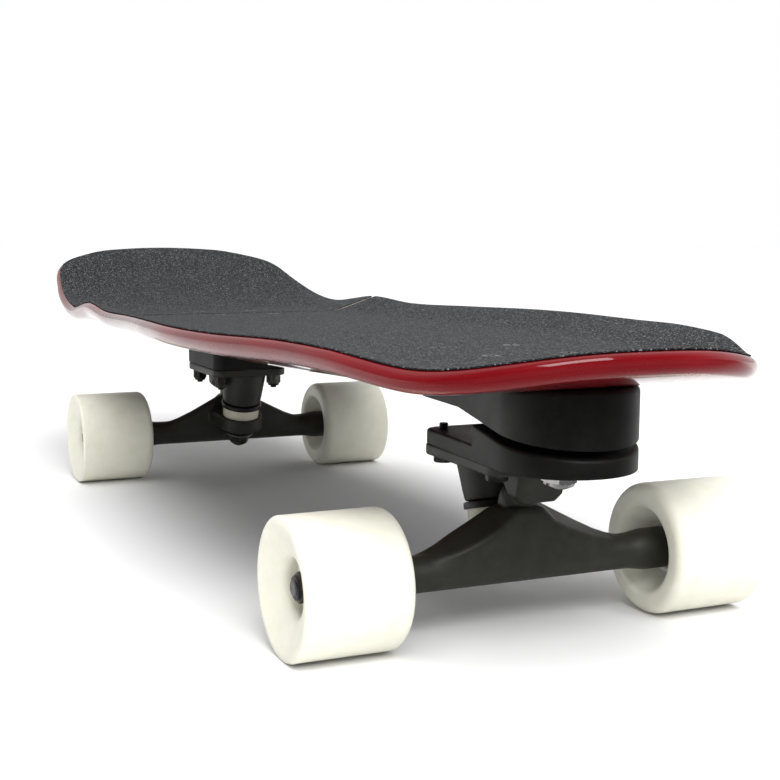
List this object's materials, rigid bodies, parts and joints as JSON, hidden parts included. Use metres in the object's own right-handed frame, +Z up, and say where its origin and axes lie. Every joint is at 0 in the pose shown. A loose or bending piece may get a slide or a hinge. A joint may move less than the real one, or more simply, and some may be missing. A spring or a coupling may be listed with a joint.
{
  "type": "surf skateboard",
  "caption": "Surf skateboard: kicked concave deck on a riser and rear kingpin truck, with a front kingpin truck on a swivelling surf arm and four wide urethane wheels.",
  "frame": {"origin": "on the floor, under the middle of the board's overall length and width", "axes": "+X to the nose, +Y to the rider's left when facing the nose, +Z up"},
  "size_m": [0.764, 0.2636, 0.1699],
  "materials": {
    "deck_lacquer": "high-gloss red lacquer over maple plies",
    "grip_tape": "coarse sparkling dark grey grit",
    "riser_plastic": "matt dark grey moulded plastic",
    "wheel_urethane": "smooth off-white cast urethane",
    "bearing_steel": "ground steel",
    "cream_urethane": "cream cast urethane",
    "black_urethane": "black cast urethane",
    "bright_steel": "zinc-bright steel",
    "black_casting": "satin black coat on cast aluminium",
    "black_steel": "black oxide steel"
  },
  "bodies": {
    "board": {"adapter_base": "black_casting", "adapter_bolt_inner_left": "black_steel", "adapter_bolt_inner_right": "black_steel", "adapter_bolt_outer_left": "black_steel", "adapter_bolt_outer_right": "black_steel", "deck": "deck_lacquer", "grip_tape_front": "grip_tape", "grip_tape_rear": "grip_tape", "rear_baseplate": "black_casting", "rear_boardside_bushing": "cream_urethane", "rear_cup_washer": "black_steel", "rear_deck_bolt_inner_left": "black_steel", "rear_deck_bolt_inner_right": "black_steel", "rear_deck_bolt_outer_left": "black_steel", "rear_deck_bolt_outer_right": "black_steel", "rear_kingpin": "black_steel", "rear_kingpin_nut": "black_steel", "rear_lower_washer": "bright_steel", "rear_pivot_cup": "black_urethane", "rear_riser": "riser_plastic", "rear_roadside_bushing": "black_urethane", "swivel_bearing": "bearing_steel", "thrust_bearing": "black_steel"},
    "surf_arm": {"front_baseplate": "black_casting", "front_boardside_bushing": "cream_urethane", "front_cup_washer": "black_steel", "front_kingpin": "black_steel", "front_kingpin_nut": "black_steel", "front_lower_washer": "bright_steel", "front_pivot_cup": "black_urethane", "front_roadside_bushing": "black_urethane", "swing_arm": "black_casting", "swivel_bolt": "bright_steel", "swivel_nut": "bright_steel", "truck_bolt_inner_left": "black_steel", "truck_bolt_inner_right": "black_steel", "truck_bolt_outer_left": "black_steel", "truck_bolt_outer_right": "black_steel"},
    "front_hanger": {"front_hanger": "black_casting", "front_axle": "bright_steel", "axle_nut_front_left": "black_steel", "axle_nut_front_right": "black_steel"},
    "rear_hanger": {"rear_hanger": "black_casting", "rear_axle": "bright_steel", "axle_nut_rear_left": "black_steel", "axle_nut_rear_right": "black_steel"},
    "front_left_wheel": {"wheel_front_left": "wheel_urethane", "inner_bearing_front_left": "bearing_steel", "outer_bearing_front_left": "bearing_steel"},
    "front_right_wheel": {"wheel_front_right": "wheel_urethane", "inner_bearing_front_right": "bearing_steel", "outer_bearing_front_right": "bearing_steel"},
    "rear_left_wheel": {"wheel_rear_left": "wheel_urethane", "inner_bearing_rear_left": "bearing_steel", "outer_bearing_rear_left": "bearing_steel"},
    "rear_right_wheel": {"wheel_rear_right": "wheel_urethane", "inner_bearing_rear_right": "bearing_steel", "outer_bearing_rear_right": "bearing_steel"}
  },
  "joints": [
    {"name": "surf_arm_swivel", "type": "hinge", "parent": "board", "child": "surf_arm", "pos_m": [0.3125, 0, 0.0845], "axis": [0.1392, 0, 0.9903], "range_deg": [-45, 45]},
    {"name": "front_truck_steer", "type": "hinge", "parent": "surf_arm", "child": "front_hanger", "pos_m": [0.256, 0, 0.0427], "axis": [0.7071, 0, 0.7071], "range_deg": [-18, 18], "stiffness_Nm_per_rad": 40, "deforming": ["front_boardside_bushing", "front_roadside_bushing"]},
    {"name": "front_left_wheel_spin", "type": "hinge", "parent": "front_hanger", "child": "front_left_wheel", "pos_m": [0.27925, 0.0947, 0.0325], "axis": [0, 1, 0], "continuous": true},
    {"name": "front_right_wheel_spin", "type": "hinge", "parent": "front_hanger", "child": "front_right_wheel", "pos_m": [0.27925, -0.0947, 0.0325], "axis": [0, 1, 0], "continuous": true},
    {"name": "rear_truck_steer", "type": "hinge", "parent": "board", "child": "rear_hanger", "pos_m": [-0.148, 0, 0.0427], "axis": [-0.7071, 0, 0.7071], "range_deg": [-18, 18], "stiffness_Nm_per_rad": 40, "deforming": ["rear_boardside_bushing", "rear_roadside_bushing"]},
    {"name": "rear_left_wheel_spin", "type": "hinge", "parent": "rear_hanger", "child": "rear_left_wheel", "pos_m": [-0.17125, 0.0947, 0.0325], "axis": [0, 1, 0], "continuous": true},
    {"name": "rear_right_wheel_spin", "type": "hinge", "parent": "rear_hanger", "child": "rear_right_wheel", "pos_m": [-0.17125, -0.0947, 0.0325], "axis": [0, 1, 0], "continuous": true}
  ]
}
